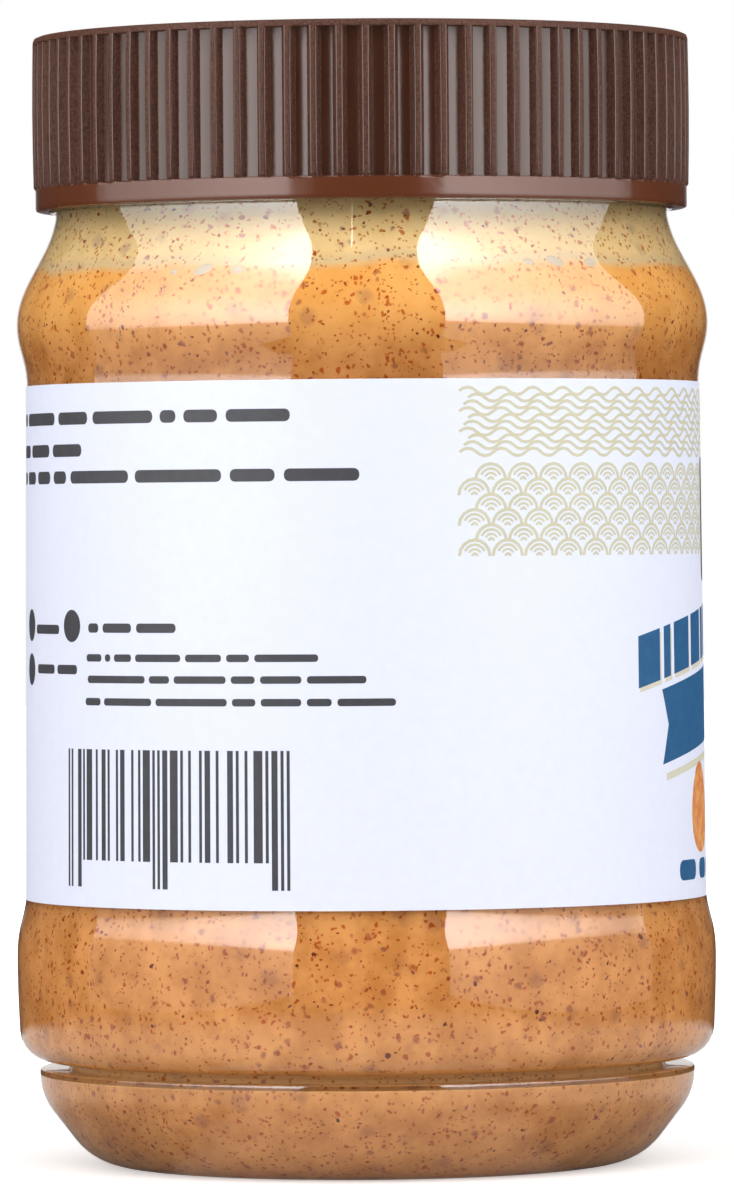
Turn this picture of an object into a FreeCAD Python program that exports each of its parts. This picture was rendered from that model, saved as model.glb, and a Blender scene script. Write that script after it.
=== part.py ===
import FreeCAD, Part
import math
import os

# A closed jar of almond butter: a clear plastic jar, the butter in it with a paler,
# oil-rich layer on top, a ribbed screw lid and a wrap-round paper label.
# Millimetres, +Z up. The origin is the middle of the ring the jar stands on, the jar's
# axis is Z, the front is -Y and +X is to the right of somebody who faces the front.

# --- jar: wall ---------------------------------------------------------------
WALL = 0.7
FLOOR_WALL = 1.5            # the heel and floor are thicker than the side wall
NECK_WALL = 1.6
NECK_TAPER = 3.0            # below the neck its wall thins at 45 degrees, within this height

# --- jar: floor and foot ring --------------------------------------------------
PUSH_UP = 3.0               # rise of the floor's middle above the ground
PUSH_UP_BEND = 6.0          # bend from the raised floor to the ground
STANDING_RING = 1.0         # width of the flat ring the jar stands on
FOOT_HEIGHT = 10.7          # the foot ring's flat top
FOOT_INSET = 2.44           # the foot ring's side lies this far inside the lower bulge
FOOT_SIDE = 0.7             # height of its upright side, above the heel
FOOT_CORNER = 0.3
FOOT_SLOPE = 38.0           # degrees from the vertical, between the heel's two bends
HEEL_LOWER_BEND = 7.5
HEEL_UPPER_BEND = 6.5

# --- jar: groove between the foot ring and the body ----------------------------
GROOVE_HEIGHT = 0.9
GROOVE_DEPTH = 3.45         # from the foot ring's side

# --- jar: body -------------------------------------------------------------------
BODY_RADIUS = 38.4          # crest of the lower bulge, the jar's widest place
LOWER_BODY_HEIGHT = 17.6    # from the groove to the label panel
LIP_BEND = 3.4              # round lower edge of the body
LIP_INSET = 0.25            # the side leans in by this between the crest and that edge
PANEL_HEIGHT = 57.6         # the recessed label panel, between two low bulges
LOWER_BULGE = 1.12          # how far each bulge stands out from the panel
UPPER_BULGE = 1.22
UPPER_CREST_INSET = 0.3     # the upper bulge's crest lies this far inside the lower one's
CREST_BEND = 8.5            # both bulges
PANEL_BEND = 4.0            # where a bulge meets the panel

# --- jar: shoulder and neck ------------------------------------------------------
NECK_INSET = 4.5            # the neck's side lies this far inside the upper bulge
SHOULDER_SLOPE = 29.0       # degrees from the vertical
NECK_BEND = 7.5
NECK_SHOWN = 0.25           # straight neck between the shoulder and the lid
BEAD_STAND = 0.6            # a bead round the neck, just under the lid
BEAD_HEIGHT = 0.9
BEAD_SHOWN = 0.25           # how far the bead comes out below the lid

# --- lid -------------------------------------------------------------------------
LID_HEIGHT = 19.0
LID_CLEARANCE = 0.15        # from the neck's bead
LID_WALL = 0.8              # behind the recesses
LID_CROWN = 0.1             # the side swells by this half-way up
LID_TOP_EDGE = 0.5
LID_TOP_PLATE = 1.4
BAND_HEIGHT = 2.35          # plain band below the ribs
BAND_INSET = 0.2            # the band lies this far inside the ribs' tops
BAND_EDGE = 0.25
RIB_COUNT = 81
RIB_TOP_WIDTH = 0.68
RIB_FLANK_WIDTH = 0.34      # the recess's floor takes the rest of each rib's share
RECESS_DEPTH = 0.85
RECESS_TOP_GAP = 0.75       # from a recess's upper end to the top of the lid
RECESS_END_BEND = 0.4
LID_TURN = 0.9              # degrees the rib nearest the front is turned to the right

# --- filling -----------------------------------------------------------------------
PALE_BAND = 5.9             # the oil-rich layer that shows below the lid
HIDDEN_FILL = 4.3           # how far that layer goes on up behind the lid

# --- label -------------------------------------------------------------------------
LABEL_THICKNESS = 0.12
LABEL_BOTTOM_MARGIN = 0.05  # from the lower end of the panel
LABEL_TOP_MARGIN = 1.3      # from its upper end
LABEL_CORNER = 3.5
LABEL_GAP = 12.0            # bare strip between the label's two ends
LABEL_LEFT_END = 0.4        # degrees the left end lies behind the jar's left side

# --- sizes that follow from these ----------------------------------------------------
FOOT_RADIUS = BODY_RADIUS - FOOT_INSET
GROOVE_ROOT_RADIUS = FOOT_RADIUS - GROOVE_DEPTH
GROOVE_TOP = FOOT_HEIGHT + GROOVE_HEIGHT
PANEL_BOTTOM = GROOVE_TOP + LOWER_BODY_HEIGHT
PANEL_TOP = PANEL_BOTTOM + PANEL_HEIGHT
PANEL_BOTTOM_RADIUS = BODY_RADIUS - LOWER_BULGE
UPPER_CREST_RADIUS = BODY_RADIUS - UPPER_CREST_INSET
PANEL_TOP_RADIUS = UPPER_CREST_RADIUS - UPPER_BULGE
NECK_RADIUS = UPPER_CREST_RADIUS - NECK_INSET
NECK_BORE = NECK_RADIUS - NECK_WALL
BEAD_RADIUS = NECK_RADIUS + BEAD_STAND
LID_BORE = BEAD_RADIUS + LID_CLEARANCE
RECESS_FLOOR_RADIUS = LID_BORE + LID_WALL
LID_RADIUS = RECESS_FLOOR_RADIUS + RECESS_DEPTH
BAND_RADIUS = LID_RADIUS - BAND_INSET

AXIS = FreeCAD.Vector(0, 0, 1)
ORIGIN = FreeCAD.Vector(0, 0, 0)
FRONT = 270.0               # degrees about the axis, counted from +X
LEFT = 180.0
FAR = 500.0                 # a length past everything, for cutting tools


def point(radius, height):
    """A place in the half section, which lies in the XZ plane."""
    return FreeCAD.Vector(radius, 0, height)


class Walk:
    """A half section drawn as a walk of straight runs and tangent bends.

    The heading is in degrees: 0 is outwards from the axis and 90 is up.
    """

    def __init__(self, radius, height, heading):
        self.radius = radius
        self.height = height
        self.heading = heading
        self.edges = []

    def run_to(self, radius, height):
        start = point(self.radius, self.height)
        self.edges.append(Part.makeLine(start, point(radius, height)))
        self.radius = radius
        self.height = height

    def ahead(self, length):
        angle = math.radians(self.heading)
        self.run_to(self.radius + length * math.cos(angle),
                    self.height + length * math.sin(angle))

    def arc_through(self, halfway, end):
        """An arc through two (radius, height) places, which leaves the heading alone."""
        start = point(self.radius, self.height)
        self.edges.append(Part.Arc(start, point(*halfway), point(*end)).toShape())
        self.radius, self.height = end

    def bend(self, bend_radius, turn):
        """An arc of this radius; a positive turn goes to the left of the walk."""
        side = math.copysign(1.0, turn)
        to_middle = math.radians(self.heading + 90.0 * side)
        middle_radius = self.radius + bend_radius * math.cos(to_middle)
        middle_height = self.height + bend_radius * math.sin(to_middle)

        def on_arc(turned):
            outward = math.radians(self.heading - 90.0 * side + turned)
            return (middle_radius + bend_radius * math.cos(outward),
                    middle_height + bend_radius * math.sin(outward))

        self.arc_through(on_arc(turn / 2), on_arc(turn))
        self.heading += turn

    def step(self, sideways, first_bend, second_bend, slope):
        """Shift to a parallel course: bend, straight run, bend back.

        The shift and the slope are positive to the left of the walk.
        """
        by_bends = (first_bend + second_bend) * (1 - math.cos(math.radians(slope)))
        straight = (abs(sideways) - by_bends) / math.sin(math.radians(abs(slope)))
        self.bend(first_bend, slope)
        if straight > 0.001:
            self.ahead(straight)
        self.bend(second_bend, -slope)


def step_slope(sideways, first_bend, second_bend):
    """The slope of a step of this size that has no straight run."""
    return math.degrees(math.acos(1 - abs(sideways) / (first_bend + second_bend)))


def half_section(edges):
    """The face between a walk that starts and ends on one upright line and that line."""
    wire = Part.Wire(edges)
    first = wire.OrderedVertexes[0].Point
    last = wire.OrderedVertexes[-1].Point
    return Part.Face(Part.Wire(wire.Edges + [Part.makeLine(last, first)]))


def ring_section(corners):
    """A face with straight sides through the given (radius, height) corners."""
    return Part.Face(Part.makePolygon([point(*corner) for corner in corners + corners[:1]]))


def spin(face):
    return face.revolve(ORIGIN, AXIS, 360)


# --- jar -----------------------------------------------------------------------------

def standing_radius():
    """Outer radius of the flat ring the jar stands on."""
    slope = math.radians(FOOT_SLOPE)
    bends_out = HEEL_LOWER_BEND * math.cos(slope) + HEEL_UPPER_BEND * (1 - math.cos(slope))
    bends_up = HEEL_LOWER_BEND * (1 - math.sin(slope)) + HEEL_UPPER_BEND * math.sin(slope)
    straight_out = (FOOT_HEIGHT - FOOT_SIDE - bends_up) * math.tan(slope)
    return FOOT_RADIUS - bends_out - straight_out


def walk_floor_and_heel(overrun=0.0):
    """From the middle of the raised floor to the upright side of the foot ring.

    An overrun starts the walk that far past the axis, on the level of the middle.
    """
    inner = standing_radius() - STANDING_RING
    dip = 2 * math.atan(PUSH_UP / inner)
    dome = inner / math.sin(dip) - PUSH_UP_BEND
    walk = Walk(-overrun, PUSH_UP, 0)
    if overrun:
        walk.ahead(overrun)
    walk.bend(dome, -math.degrees(dip))
    walk.bend(PUSH_UP_BEND, math.degrees(dip))
    walk.ahead(STANDING_RING)
    walk.bend(HEEL_LOWER_BEND, 90 - FOOT_SLOPE)
    slope = math.radians(FOOT_SLOPE)
    rise = FOOT_HEIGHT - FOOT_SIDE - HEEL_UPPER_BEND * math.sin(slope) - walk.height
    walk.ahead(rise / math.cos(slope))
    walk.bend(HEEL_UPPER_BEND, FOOT_SLOPE)
    return walk


def crest_distance(swell):
    """Height from a bulge's crest to the end of the panel it bends into."""
    slope = math.radians(step_slope(swell, CREST_BEND, PANEL_BEND))
    return (CREST_BEND + PANEL_BEND) * math.sin(slope)


def walk_groove(walk):
    """From the foot ring's side, in to the root of the groove and out under the body."""
    root_bend = GROOVE_HEIGHT / 2
    walk.ahead(FOOT_SIDE - FOOT_CORNER)
    walk.bend(FOOT_CORNER, 90)
    walk.ahead(walk.radius - GROOVE_ROOT_RADIUS - root_bend)
    walk.bend(root_bend, -180)


def walk_lower_body(walk):
    """Round the body's lower lip and up its slightly swelling side to the crest."""
    crest_height = PANEL_BOTTOM - crest_distance(LOWER_BULGE)
    lean = 2 * math.atan(LIP_INSET / (crest_height - GROOVE_TOP - LIP_BEND))
    lip_turn = math.pi / 2 - lean
    walk.ahead(BODY_RADIUS - LIP_INSET - LIP_BEND * math.sin(lip_turn) - walk.radius)
    walk.bend(LIP_BEND, math.degrees(lip_turn))
    walk.bend((crest_height - walk.height) / math.sin(lean), math.degrees(lean))


def walk_panel_and_bulges(walk):
    """From the lower crest along the recessed label panel to the upper crest."""
    walk.step(LOWER_BULGE, CREST_BEND, PANEL_BEND,
              step_slope(LOWER_BULGE, CREST_BEND, PANEL_BEND))
    walk.run_to(PANEL_TOP_RADIUS, PANEL_TOP)
    walk.step(UPPER_BULGE, PANEL_BEND, CREST_BEND,
              -step_slope(UPPER_BULGE, PANEL_BEND, CREST_BEND))


def jar_outline(overrun=0.0):
    """The jar's outside from the middle of the floor to the top of the shoulder."""
    walk = walk_floor_and_heel(overrun)
    walk_groove(walk)
    walk_lower_body(walk)
    walk_panel_and_bulges(walk)
    walk.step(NECK_INSET, CREST_BEND, NECK_BEND, SHOULDER_SLOPE)
    return walk


NECK_HEIGHT = jar_outline().height              # the straight neck begins here
LID_BOTTOM = NECK_HEIGHT + NECK_SHOWN
LID_TOP = LID_BOTTOM + LID_HEIGHT
RIM_HEIGHT = LID_TOP - LID_TOP_PLATE            # the lid's top plate rests on the rim
BUTTER_LEVEL = LID_BOTTOM - PALE_BAND
FILL_LEVEL = LID_BOTTOM + HIDDEN_FILL


def jar_cavity():
    """The space inside the jar, from the floor to the rim."""
    overrun = 2 * WALL
    walk = jar_outline(overrun)
    walk.run_to(NECK_RADIUS, RIM_HEIGHT)
    walk.run_to(-overrun, RIM_HEIGHT)
    inner = half_section(walk.edges).makeOffset2D(-WALL)
    right_half = ring_section([(0, 0), (FAR, 0), (FAR, FAR), (0, FAR)])
    cavity = spin(inner.common(right_half).Faces[0])
    heel = walk_floor_and_heel()
    heel.run_to(FAR, heel.height)
    heel.run_to(FAR, FAR)
    heel.run_to(0, FAR)
    above_floor = spin(half_section(heel.edges))
    above_floor.translate(FreeCAD.Vector(0, 0, FLOOR_WALL))
    taper_bottom = NECK_HEIGHT - NECK_TAPER
    throat = spin(ring_section([(0, 0), (FAR, 0), (FAR, taper_bottom),
                                (NECK_BORE + NECK_TAPER, taper_bottom),
                                (NECK_BORE, NECK_HEIGHT), (NECK_BORE, RIM_HEIGHT),
                                (0, RIM_HEIGHT)]))
    neck_start = point(0, NECK_HEIGHT)
    bore = Part.makeCylinder(NECK_BORE, RIM_HEIGHT - NECK_HEIGHT, neck_start, AXIS)
    return cavity.common(above_floor).common(throat).fuse(bore).removeSplitter()


def neck_bead():
    bottom = LID_BOTTOM - BEAD_SHOWN
    bead = Part.makeCylinder(BEAD_RADIUS, BEAD_HEIGHT, point(0, bottom), AXIS)
    bead = bead.makeFillet(BEAD_HEIGHT / 3, [edge for edge in bead.Edges if edge.Closed])
    return bead.cut(Part.makeCylinder(NECK_BORE, RIM_HEIGHT, ORIGIN, AXIS))


def make_jar(cavity):
    walk = jar_outline()
    walk.run_to(NECK_RADIUS, RIM_HEIGHT)
    walk.run_to(0, RIM_HEIGHT)
    outside = spin(half_section(walk.edges))
    return outside.fuse(neck_bead()).cut(cavity).removeSplitter()


# --- filling ---------------------------------------------------------------------------

def between(shape, low, high):
    slab = Part.makeCylinder(FAR, high - low, point(0, low), AXIS)
    return shape.common(slab)


# --- lid ---------------------------------------------------------------------------------

def lid_blank():
    """The hollow cap before its recesses are cut."""
    ribs_bottom = LID_BOTTOM + BAND_HEIGHT + BAND_INSET
    side_top = LID_TOP - LID_TOP_EDGE
    walk = Walk(0, RIM_HEIGHT, 0)
    walk.run_to(LID_BORE, RIM_HEIGHT)
    walk.run_to(LID_BORE, LID_BOTTOM)
    walk.run_to(BAND_RADIUS - BAND_EDGE, LID_BOTTOM)
    walk.bend(BAND_EDGE, 90)
    walk.run_to(BAND_RADIUS, LID_BOTTOM + BAND_HEIGHT)
    walk.run_to(LID_RADIUS, ribs_bottom)
    walk.arc_through((LID_RADIUS + LID_CROWN, (ribs_bottom + side_top) / 2),
                     (LID_RADIUS, side_top))
    walk.bend(LID_TOP_EDGE, 90)
    walk.run_to(0, LID_TOP)
    return spin(half_section(walk.edges))


def recess_cutter():
    """One recess between two ribs, on the +X side."""
    rib_pitch = 2 * math.pi * LID_RADIUS / RIB_COUNT
    mouth_half = (rib_pitch - RIB_TOP_WIDTH) / 2
    floor_half = mouth_half - RIB_FLANK_WIDTH
    overshoot = RECESS_DEPTH / 2
    outer_half = mouth_half + RIB_FLANK_WIDTH * overshoot / RECESS_DEPTH
    outer_radius = LID_RADIUS + overshoot
    bottom = LID_BOTTOM + BAND_HEIGHT
    top = LID_TOP - RECESS_TOP_GAP
    corners = [(RECESS_FLOOR_RADIUS, -floor_half), (outer_radius, -outer_half),
               (outer_radius, outer_half), (RECESS_FLOOR_RADIUS, floor_half)]
    points = [FreeCAD.Vector(x, y, bottom) for x, y in corners + corners[:1]]
    cutter = Part.Face(Part.makePolygon(points)).extrude(AXIS * (top - bottom))
    upper_end = [edge for edge in cutter.Edges
                 if abs(edge.CenterOfMass.x - RECESS_FLOOR_RADIUS) < 0.001
                 and abs(edge.CenterOfMass.z - top) < 0.001]
    return cutter.makeFillet(RECESS_END_BEND, upper_end)


def make_lid():
    pitch = 360.0 / RIB_COUNT
    first = FRONT + LID_TURN + pitch / 2
    cutter = recess_cutter()
    cutters = []
    for recess in range(RIB_COUNT):
        copy = cutter.copy()
        copy.rotate(ORIGIN, AXIS, first + pitch * recess)
        cutters.append(copy)
    return lid_blank().cut(Part.makeCompound(cutters))


# --- label ---------------------------------------------------------------------------------

def label_gap_tool(bottom, top):
    """The bare strip between the label's ends, with the ends' corners rounded.

    It lies on the +X side and passes through the wall of the sleeve there.
    """
    half = LABEL_GAP / 2
    turn = LABEL_CORNER * math.sqrt(0.5)
    edges = []
    for side in (1, -1):
        for end, inwards in ((bottom, 1), (top, -1)):
            corner = [(side * (half + LABEL_CORNER), end),
                      (side * (half + LABEL_CORNER - turn),
                       end + inwards * (LABEL_CORNER - turn)),
                      (side * half, end + inwards * LABEL_CORNER)]
            points = [FreeCAD.Vector(0, y, z) for y, z in corner]
            edges.append(Part.Arc(*points).toShape())
        side_ends = [FreeCAD.Vector(0, side * half, bottom + LABEL_CORNER),
                     FreeCAD.Vector(0, side * half, top - LABEL_CORNER)]
        edges.append(Part.makeLine(*side_ends))
    for height in (bottom, top):
        edges.append(Part.makeLine(FreeCAD.Vector(0, -half - LABEL_CORNER, height),
                                   FreeCAD.Vector(0, half + LABEL_CORNER, height)))
    outline = Part.Wire(Part.__sortEdges__(edges))
    return Part.Face(outline).extrude(FreeCAD.Vector(FAR, 0, 0))


def panel_radius(height):
    share = (height - PANEL_BOTTOM) / (PANEL_TOP - PANEL_BOTTOM)
    return PANEL_BOTTOM_RADIUS + (PANEL_TOP_RADIUS - PANEL_BOTTOM_RADIUS) * share


def make_label():
    bottom = PANEL_BOTTOM + LABEL_BOTTOM_MARGIN
    top = PANEL_TOP - LABEL_TOP_MARGIN
    low = panel_radius(bottom)
    high = panel_radius(top)
    sleeve = spin(ring_section([(low, bottom), (low + LABEL_THICKNESS, bottom),
                                (high + LABEL_THICKNESS, top), (high, top)]))
    tool = label_gap_tool(bottom, top)
    half_gap = math.degrees(LABEL_GAP / 2 / low)
    tool.rotate(ORIGIN, AXIS, LEFT - LABEL_LEFT_END - half_gap)
    return sleeve.cut(tool)


# --- the whole -------------------------------------------------------------------------------

def main():
    cavity = jar_cavity()
    nodes = {
        "jar": make_jar(cavity),
        "almond_butter": between(cavity, 0, BUTTER_LEVEL),
        "oil_layer": between(cavity, BUTTER_LEVEL, FILL_LEVEL),
        "lid": make_lid(),
        "label": make_label(),
    }
    os.makedirs("parts", exist_ok=True)
    for name, shape in nodes.items():
        solid = shape.Solids[0]
        print(name, len(shape.Solids), "solid", round(solid.Volume / 1000, 2), "ml",
              "valid" if solid.isValid() else "NOT VALID")
        solid.exportStep("parts/" + name + ".step")


main()
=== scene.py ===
# %% [markdown]
# A closed jar of almond butter. The construction model is loaded first as a fixed
# frame. Every new piece is drawn in millimetres about the same upright axis, and is
# scaled to metres when it is finished, so it lands where the construction model is.

# %% Load the frame
import math
import random

import bmesh
import bpy
from mathutils import Matrix, Vector


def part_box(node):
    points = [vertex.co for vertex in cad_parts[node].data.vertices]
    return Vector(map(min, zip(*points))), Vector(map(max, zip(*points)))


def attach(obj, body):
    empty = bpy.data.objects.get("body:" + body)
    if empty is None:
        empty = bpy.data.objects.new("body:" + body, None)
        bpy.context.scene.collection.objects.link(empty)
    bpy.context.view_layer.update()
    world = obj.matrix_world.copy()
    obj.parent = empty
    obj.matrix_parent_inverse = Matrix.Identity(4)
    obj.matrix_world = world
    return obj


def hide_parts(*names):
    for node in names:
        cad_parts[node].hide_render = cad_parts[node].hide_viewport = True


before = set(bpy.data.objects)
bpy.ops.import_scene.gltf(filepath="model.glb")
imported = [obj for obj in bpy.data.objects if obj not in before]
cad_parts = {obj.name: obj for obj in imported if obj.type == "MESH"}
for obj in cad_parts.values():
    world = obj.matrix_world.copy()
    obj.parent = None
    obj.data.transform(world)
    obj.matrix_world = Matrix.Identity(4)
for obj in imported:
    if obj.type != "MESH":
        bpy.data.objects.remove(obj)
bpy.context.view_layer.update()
MM = 0.001
random.seed(81)
print("nodes:", ", ".join(sorted(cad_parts)))

# %% [markdown]
# The camera is a long lens, level with the upper third of the label, square to the
# side of the jar. A long lens keeps the lid's curve shallow. The slight turn is the
# lean that a hand-set jar has on a table.

# %% Camera
camera_data = bpy.data.cameras.new("side_camera")
camera_data.sensor_width = 36.0
camera_data.lens = 258.0
camera_data.shift_y = -0.0583
camera_data.clip_start = 0.05
camera_data.clip_end = 20.0
camera = bpy.data.objects.new("side_camera", camera_data)
camera.location = (0.37 * MM, -946 * MM, 69.5 * MM)
camera.rotation_euler = (math.radians(90), math.radians(0.42), 0)
bpy.context.scene.collection.objects.link(camera)
bpy.context.scene.camera = camera
print("camera", round(camera.location.y, 3), "m from the axis")

# %% [markdown]
# Small helpers for materials and objects come first. Two node groups further down,
# flecks and grain, are built once and shared by several finishes. A group only puts
# out values that change over the surface; every plain number is typed into the
# shader's own socket.

# %% Helpers
def new_finish(name, roughness, specular=0.5):
    """A material with one Principled shader; returns the material and the shader."""
    finish = bpy.data.materials.new(name)
    finish.use_nodes = True
    finish.node_tree.nodes.clear()
    shader = finish.node_tree.nodes.new("ShaderNodeBsdfPrincipled")
    shader.inputs["Roughness"].default_value = roughness
    shader.inputs["Specular IOR Level"].default_value = specular
    output = finish.node_tree.nodes.new("ShaderNodeOutputMaterial")
    finish.node_tree.links.new(shader.outputs[0], output.inputs[0])
    return finish, shader


def srgb(red, green, blue):
    """A colour as a paint chart gives it, 0 to 255, for a shader socket."""
    def linear(value):
        value /= 255
        return value / 12.92 if value <= 0.04045 else ((value + 0.055) / 1.055) ** 2.4
    return (linear(red), linear(green), linear(blue), 1.0)


def feed(tree, socket, value):
    """Link a socket to another node's output, or give it a plain value."""
    if isinstance(value, bpy.types.NodeSocket):
        tree.links.new(value, socket)
    else:
        socket.default_value = value


def add(tree, kind, **values):
    """A new node with these input values or links."""
    node = tree.nodes.new("ShaderNode" + kind)
    for name, value in values.items():
        feed(tree, node.inputs[name.replace("_", " ")], value)
    return node


def maths(tree, operation, *values, kind="Math"):
    """The output of one Math or Vector Math node."""
    node = tree.nodes.new("ShaderNode" + kind)
    node.operation = operation
    for socket, value in zip(node.inputs, values):
        feed(tree, socket, value)
    return node.outputs["Value"] if operation == "LENGTH" else node.outputs[0]


def ramp(tree, value, low, high, start=0.0, end=1.0, smooth=False):
    """A value's way from low to high, as a way from start to end."""
    node = add(tree, "MapRange", Value=value, From_Min=low, From_Max=high,
               To_Min=start, To_Max=end)
    if smooth:
        node.interpolation_type = "SMOOTHSTEP"
    return node.outputs["Result"]


def mix_colour(tree, share, first, second, blend="MIX"):
    """Two colours, or sockets that carry one, mixed by a share."""
    mixer = tree.nodes.new("ShaderNodeMix")
    mixer.data_type = "RGBA"
    mixer.blend_type = blend
    for socket, value in zip((mixer.inputs[0], mixer.inputs[6], mixer.inputs[7]),
                             (share, first, second)):
        feed(tree, socket, value)
    return mixer.outputs[2]


def mix_shaders(tree, share, first, second):
    mixer = tree.nodes.new("ShaderNodeMixShader")
    for socket, value in zip(mixer.inputs, (share, first.outputs[0], second.outputs[0])):
        tree.links.new(value, socket)
    return mixer


def object_place(tree):
    """The place on the piece, in metres about its own axis."""
    return tree.nodes.new("ShaderNodeTexCoord").outputs["Object"]


def parts_of(tree, place):
    """The three coordinates of a place."""
    return add(tree, "SeparateXYZ", Vector=place).outputs


def new_object(bm, name, finishes):
    """Make an object of a drawing and put it in the scene."""
    mesh = bpy.data.meshes.new(name)
    bm.to_mesh(mesh)
    bm.free()
    for finish in finishes:
        mesh.materials.append(finish)
    made = bpy.data.objects.new(name, mesh)
    bpy.context.scene.collection.objects.link(made)
    return made


def all_of(bm):
    return bm.verts[:] + bm.edges[:] + bm.faces[:]


def of_kind(made, kind):
    """The vertices, edges or faces in what an operator made."""
    return [g for g in made if isinstance(g, kind)]


print("helpers ready")

# %% [markdown]
# Two large soft boxes stand left and right of the jar and reach down to the table.
# Clear plastic and glossy lids are seen mostly by what they mirror, so the boxes have
# the size that their mirror images need. The boxes themselves light only matt surfaces,
# at a plain level. A lit cloth in the same place, which only glossy surfaces see, gives
# the mirror images their strength and their soft shading. One lamp overhead and one
# high in front light the shoulder.

# %% Lamps
def soft_box(name, azimuth, distance, width, height, middle, radiance):
    """An area lamp that faces the jar's axis; azimuth 0 is the camera's side."""
    lamp = bpy.data.lights.new(name, "AREA")
    lamp.shape = "RECTANGLE"
    lamp.size, lamp.size_y = width, height
    lamp.energy = radiance * math.pi * width * height
    box = bpy.data.objects.new(name, lamp)
    angle = math.radians(azimuth)
    box.location = (distance * math.sin(angle), -distance * math.cos(angle), middle)
    box.rotation_euler = (math.radians(90), 0, angle)
    box.visible_glossy = False
    box.visible_camera = False
    bpy.context.scene.collection.objects.link(box)
    return box


BOXES = (("left", -64.5, 1.02), ("right", 73.5, 0.95))
for side, azimuth, width in BOXES:
    soft_box(side + "_box", azimuth, 0.6, width, 0.95, 0.48, 1.12)
overhead = soft_box("overhead", 0, 0.0, 1.2, 1.2, 0.9, 0.5)
overhead.rotation_euler = (0, 0, 0)
high_front = soft_box("high_front", 0, 0.55, 0.9, 0.7, 0.75, 1.7)
high_front.rotation_euler = (math.radians(40), 0, 0)
print(len(BOXES), "side boxes, one lamp overhead and one in front")

# %% What the plastic mirrors
CLOTH_FOOT, CLOTH_HEIGHT, CLOTH_LENGTH = 0.001, 0.57, 0.28
# height over the table in metres, and strength there
CLOTH_GLOW = ((0.001, 0.12), (0.069, 0.18), (0.071, 0.62), (0.085, 0.85), (0.12, 0.95),
              (0.2, 0.66), (0.28, 0.72), (0.36, 1.3), (0.5, 1.4))
CLOTH_FADE = (3.4, 10.5)        # strength at the far upright edge and at the near one


def mirror_finish(name, toward_camera):
    """A lit cloth: weak below its hem, then bright, and brightest near its top."""
    finish = bpy.data.materials.new(name)
    finish.use_nodes = True
    tree = finish.node_tree
    tree.nodes.clear()
    along, _, up = parts_of(tree, object_place(tree))
    height = tree.nodes.new("ShaderNodeFloatCurve")
    curve = height.mapping.curves[0]
    for at, strength in CLOTH_GLOW:
        curve.points.new(at, strength)
    curve.points[0].location = (0.0, CLOTH_GLOW[0][1])
    curve.points[len(curve.points) - 1].location = (1.0, CLOTH_GLOW[-1][1])
    for point in curve.points:
        point.handle_type = "VECTOR"
    height.mapping.update()
    tree.links.new(up, height.inputs["Value"])
    half = CLOTH_LENGTH / 2 * toward_camera
    fade = ramp(tree, along, -half, half, *CLOTH_FADE, smooth=True)
    glow = add(tree, "Emission", Strength=maths(tree, "MULTIPLY", height.outputs[0], fade))
    output = tree.nodes.new("ShaderNodeOutputMaterial")
    tree.links.new(glow.outputs[0], output.inputs[0])
    return finish


for side, x, y, turn, toward_camera in (("left", -0.157, -0.0975, -61.4, 1),
                                        ("right", 0.161, -0.087, 64.0, -1)):
    bm = bmesh.new()
    bmesh.ops.create_grid(bm, x_segments=1, y_segments=1, size=0.5)
    stand = Matrix.Rotation(math.radians(90), 4, "X")
    bmesh.ops.transform(bm, verts=bm.verts,
                        matrix=Matrix.Translation((0, 0, CLOTH_FOOT + CLOTH_HEIGHT / 2))
                        @ Matrix.Diagonal((CLOTH_LENGTH, 1, CLOTH_HEIGHT, 1)) @ stand)
    cloth = new_object(bm, side + "_cloth", [mirror_finish(side + "_cloth",
                                                           toward_camera)])
    cloth.location = (x, y, 0)
    cloth.rotation_euler = (0, 0, math.radians(turn))
    cloth.visible_camera = cloth.visible_diffuse = False
    cloth.visible_transmission = cloth.visible_shadow = False
print("two lit cloths for the mirror images")

# %% [markdown]
# The room is white to the camera. To a mirror-like surface it is white behind the jar
# and dim on the camera's side, as in a studio with a lit backdrop; to matt surfaces it
# is a soft even fill.

# %% Room
world = bpy.data.worlds.new("studio")
bpy.context.scene.world = world
world.use_nodes = True
tree = world.node_tree
tree.nodes.clear()
rays = tree.nodes.new("ShaderNodeLightPath").outputs
direction = tree.nodes.new("ShaderNodeTexCoord").outputs["Generated"]
away = parts_of(tree, direction)["Y"]
fill = add(tree, "Background", Strength=0.29)
mirror_view = add(tree, "Background",
                  Strength=ramp(tree, away, 0.965, 0.998, 0.05, 0.85, smooth=True))
white = add(tree, "Background", Strength=1.0)
for background in (fill, mirror_view, white):
    background.inputs["Color"].default_value = (1, 1, 1, 1)
fill_or_mirror = mix_shaders(tree, rays["Is Glossy Ray"], fill, mirror_view)
seen = maths(tree, "MAXIMUM", rays["Is Camera Ray"], rays["Is Transmission Ray"])
whole_room = mix_shaders(tree, seen, fill_or_mirror, white)
room = tree.nodes.new("ShaderNodeOutputWorld")
tree.links.new(whole_room.outputs[0], room.inputs[0])
print("room set")

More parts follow.
